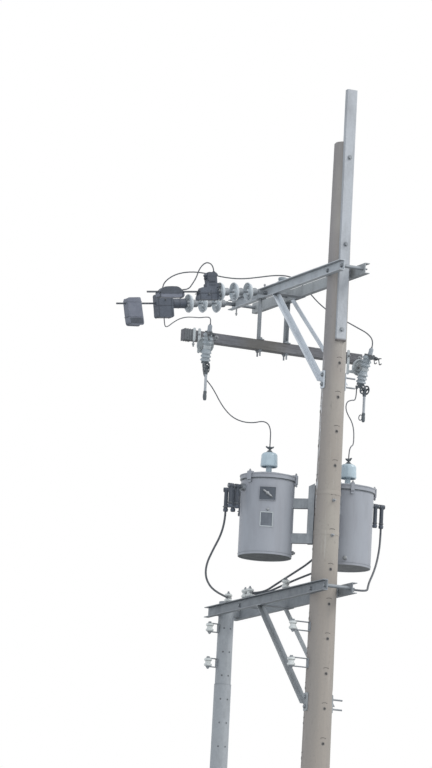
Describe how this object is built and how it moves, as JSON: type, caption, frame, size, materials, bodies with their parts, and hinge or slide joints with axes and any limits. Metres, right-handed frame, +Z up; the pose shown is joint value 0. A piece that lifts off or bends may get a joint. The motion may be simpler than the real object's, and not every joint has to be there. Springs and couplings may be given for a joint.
{
  "type": "pole mounted transformer bank",
  "caption": "Concrete pole carrying two round distribution transformers, steel double arms, fuse cutouts with open holders, line end insulators and an outer steel post.",
  "frame": {"origin": "middle of the concrete pole foot at ground level", "axes": "+Z up along the pole; the double arms run toward -X, the fuse crossarm along Y, the incoming line ends toward -Y"},
  "size_m": [2.575, 2.3502, 12.1],
  "materials": {
    "cable": "black cable sheath",
    "concrete": "weathered spun concrete",
    "dark_casting": "dark tarnished casting",
    "dark_cover": "dark grey polymer",
    "fibre": "grey fibre tube",
    "galvanised": "weathered hot-dip galvanised steel",
    "porcelain_grey": "grey glazed porcelain",
    "porcelain_white": "white glazed porcelain",
    "tank_paint": "light grey paint",
    "timber": "weathered timber"
  },
  "bodies": {
    "structure": {"clamp_cover_inner": "dark_cover", "clamp_cover_outer": "dark_cover", "crossarm_hangers": "galvanised", "cutout_brackets": "galvanised", "cutout_hinges": "dark_casting", "cutout_insulators": "porcelain_grey", "cutout_top_contacts": "dark_casting", "dead_end_discs": "porcelain_grey", "dead_end_fittings": "galvanised", "fuse_crossarm": "timber", "hv_bushings": "porcelain_grey", "hv_terminals": "dark_casting", "jumper_cover": "dark_cover", "left_bushing_lead": "cable", "left_cutout_jumper": "cable", "left_tank_cable": "cable", "line_covers": "dark_cover", "line_ends": "cable", "line_loop_jumper": "cable", "lower_arm_braces": "galvanised", "lower_arm_channel_far": "galvanised", "lower_arm_channel_near": "galvanised", "lower_arm_fixings": "galvanised", "lower_arm_post": "galvanised", "lower_crossing_cable": "cable", "lv_boots": "dark_cover", "lv_bushings": "galvanised", "main_jumper": "cable", "pole": "concrete", "pole_bands": "galvanised", "post_insulator": "porcelain_grey", "right_bushing_lead": "cable", "right_tank_cable": "cable", "spool_insulators": "porcelain_white", "spool_irons": "galvanised", "tank_hangers": "galvanised", "tank_left": "tank_paint", "tank_lids": "tank_paint", "tank_right": "tank_paint", "top_arm_braces": "galvanised", "top_arm_channel_far": "galvanised", "top_arm_channel_near": "galvanised", "top_arm_fixings": "galvanised", "top_extension_channel": "galvanised", "upper_crossing_cable": "cable"},
    "left_holder": {"fuse_holder_left": "fibre"},
    "right_holder": {"fuse_holder_right": "fibre"}
  },
  "joints": [
    {"name": "left_holder_swing", "type": "hinge", "parent": "structure", "child": "left_holder", "pos_m": [-1.09009, -0.81209, 9.493], "axis": [-0.2164, -0.9763, 0], "range_deg": [-10, 161]},
    {"name": "right_holder_swing", "type": "hinge", "parent": "structure", "child": "right_holder", "pos_m": [-1.09009, 0.89209, 9.493], "axis": [0.2164, -0.9763, 0], "range_deg": [-10, 161]}
  ]
}
